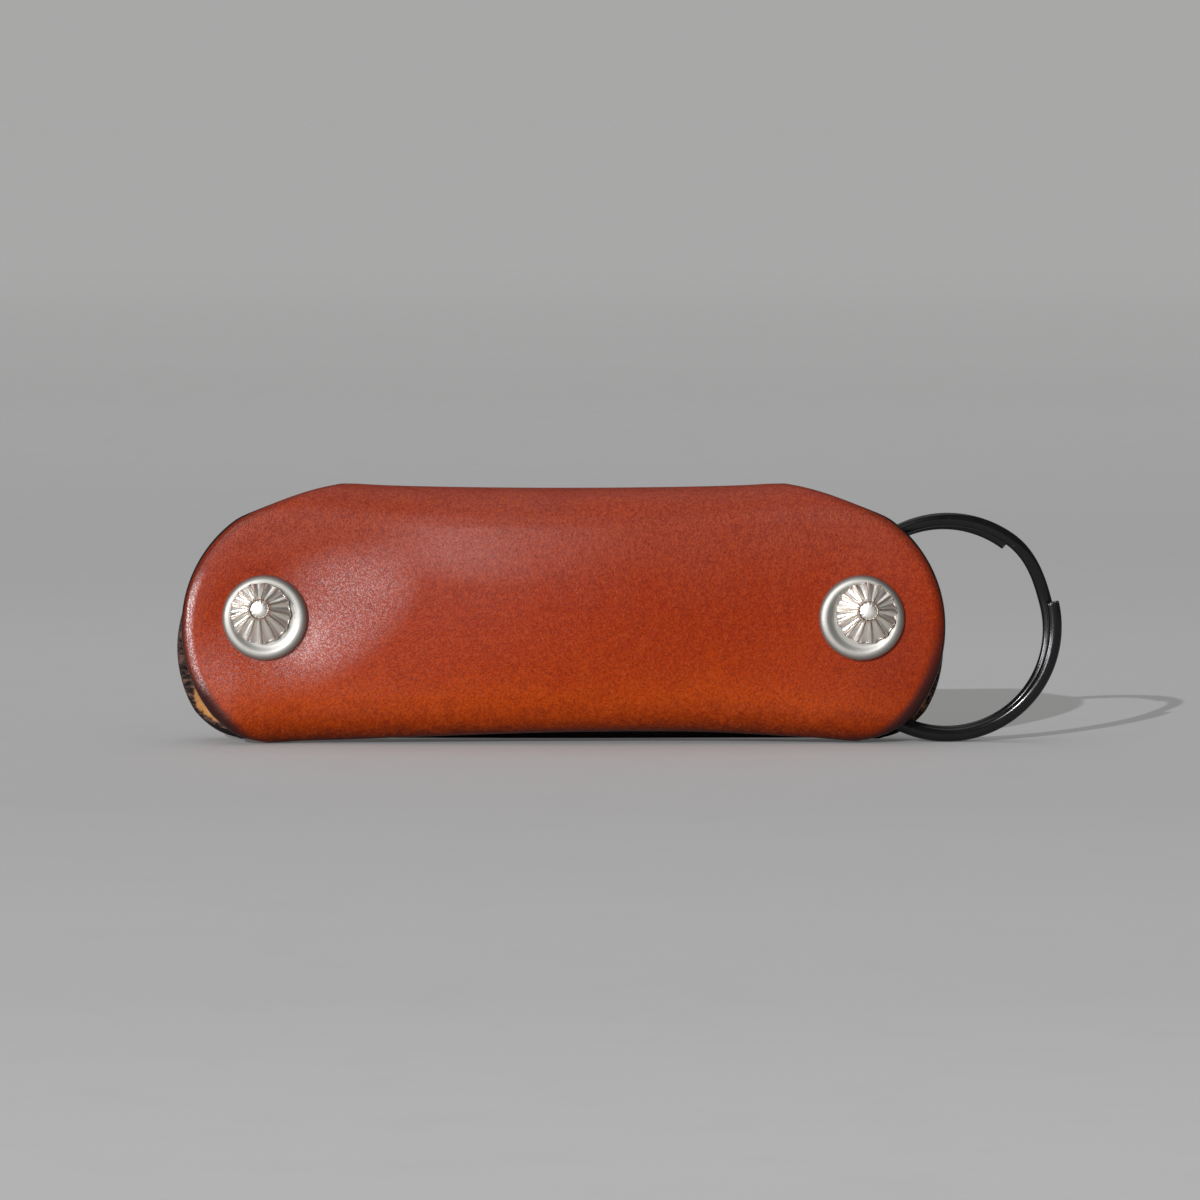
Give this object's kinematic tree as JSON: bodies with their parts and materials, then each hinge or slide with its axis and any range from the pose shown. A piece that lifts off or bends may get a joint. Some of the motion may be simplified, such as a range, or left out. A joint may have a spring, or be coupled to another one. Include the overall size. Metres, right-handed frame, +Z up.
{
  "type": "leather key holder",
  "caption": "Folded leather key holder with sunburst screw posts through both ends and a black split ring hooked on one post, standing on its lower edges.",
  "frame": {"origin": "middle of the bounding box of the whole object at its base, on the table", "axes": "+X along the cover towards the split ring, +Y away from the front face, +Z up towards the fold"},
  "size_m": [0.1238, 0.0158, 0.0363],
  "materials": {
    "leather": "waxed, burnished dark edges",
    "bright_nickel": "polished nickel plate",
    "satin_nickel": "satin nickel plate",
    "steel": "turned",
    "nylon": "black nylon",
    "black_steel": "satin black plate"
  },
  "bodies": {
    "holder": {"leather_cover": "leather", "left_sunburst_cap": "bright_nickel", "left_cup_washer": "satin_nickel", "left_threaded_post": "steel", "right_sunburst_cap": "bright_nickel", "right_cup_washer": "satin_nickel", "right_threaded_post": "steel", "left_front_spacer": "nylon", "left_key_washer": "nylon", "left_rear_spacer": "nylon", "right_front_spacer": "nylon", "right_rear_spacer": "nylon"},
    "ring": {"split_ring": "black_steel"},
    "left_washer": {"left_back_washer": "satin_nickel"},
    "left_screw": {"left_back_screw": "bright_nickel"},
    "right_washer": {"right_back_washer": "satin_nickel"},
    "right_screw": {"right_back_screw": "bright_nickel"}
  },
  "joints": [
    {"name": "ring_swing", "type": "hinge", "parent": "holder", "child": "ring", "pos_m": [0.03438, 0.00028, 0.0184], "axis": [0, 1, 0], "range_deg": [-50, 150]},
    {"name": "left_screw_travel", "type": "slide", "parent": "holder", "child": "left_washer", "axis": [0, 1, 0], "range_m": [0, 0.0044]},
    {"name": "left_screw_turn", "type": "hinge", "parent": "left_washer", "child": "left_screw", "pos_m": [-0.04962, 0.00758, 0.0184], "axis": [0, 1, 0], "range_deg": [0, 3960]},
    {"name": "right_screw_travel", "type": "slide", "parent": "holder", "child": "right_washer", "axis": [0, 1, 0], "range_m": [0, 0.0044]},
    {"name": "right_screw_turn", "type": "hinge", "parent": "right_washer", "child": "right_screw", "pos_m": [0.03438, 0.00758, 0.0184], "axis": [0, 1, 0], "range_deg": [0, 3960]}
  ],
  "couplings": [
    {"joint": "left_screw_turn", "follows": "left_screw_travel", "rad_per_m": 15708},
    {"joint": "right_screw_turn", "follows": "right_screw_travel", "rad_per_m": 15708}
  ]
}
